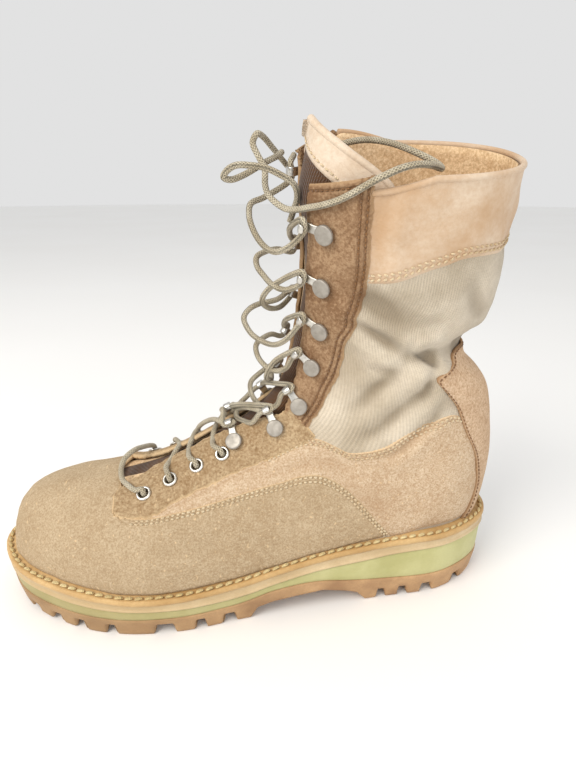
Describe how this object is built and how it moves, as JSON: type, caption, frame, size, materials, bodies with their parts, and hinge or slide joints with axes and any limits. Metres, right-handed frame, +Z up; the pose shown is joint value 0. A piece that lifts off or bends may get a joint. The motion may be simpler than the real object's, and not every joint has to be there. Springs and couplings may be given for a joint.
{
  "type": "combat boot",
  "caption": "Tan suede and canvas combat boot for the left foot, laced with speed hooks over eyelets, on a lug sole.",
  "frame": {"origin": "on the floor, under the middle of the heel", "axes": "+X towards the toe, +Y towards the outer side of the foot, +Z up"},
  "size_m": [0.3028, 0.1187, 0.2766],
  "materials": {
    "outsole": "matte tan-brown rubber",
    "midsole": "smooth yellow-green polyurethane foam",
    "rand": "satin beige rubber",
    "welt": "golden tan, waxed",
    "insole": "tan fabric over foam",
    "upper": "tan rough-out suede with canvas panels",
    "tongue": "dark brown woven mesh with a cream rolled top",
    "heel_counter": "tan suede",
    "hook": "dull grey plating",
    "eyelet": "bright rolled metal",
    "lace": "round braided cord"
  },
  "bodies": {
    "root": {"outsole": "outsole", "midsole": "midsole", "rand": "rand", "welt": "welt", "insole": "insole", "upper": "upper", "tongue": "tongue", "heel_counter": "heel_counter", "hook_outer_1": "hook", "hook_outer_2": "hook", "hook_outer_3": "hook", "hook_outer_4": "hook", "hook_outer_5": "hook", "hook_outer_6": "hook", "hook_outer_7": "hook", "hook_inner_1": "hook", "hook_inner_2": "hook", "hook_inner_3": "hook", "hook_inner_4": "hook", "hook_inner_5": "hook", "hook_inner_6": "hook", "hook_inner_7": "hook", "eyelet_outer_1": "eyelet", "eyelet_outer_2": "eyelet", "eyelet_outer_3": "eyelet", "eyelet_outer_4": "eyelet", "eyelet_inner_1": "eyelet", "eyelet_inner_2": "eyelet", "eyelet_inner_3": "eyelet", "eyelet_inner_4": "eyelet", "lace_crossings": "lace", "lace_ear": "lace", "lace_end": "lace"}
  },
  "joints": []
}
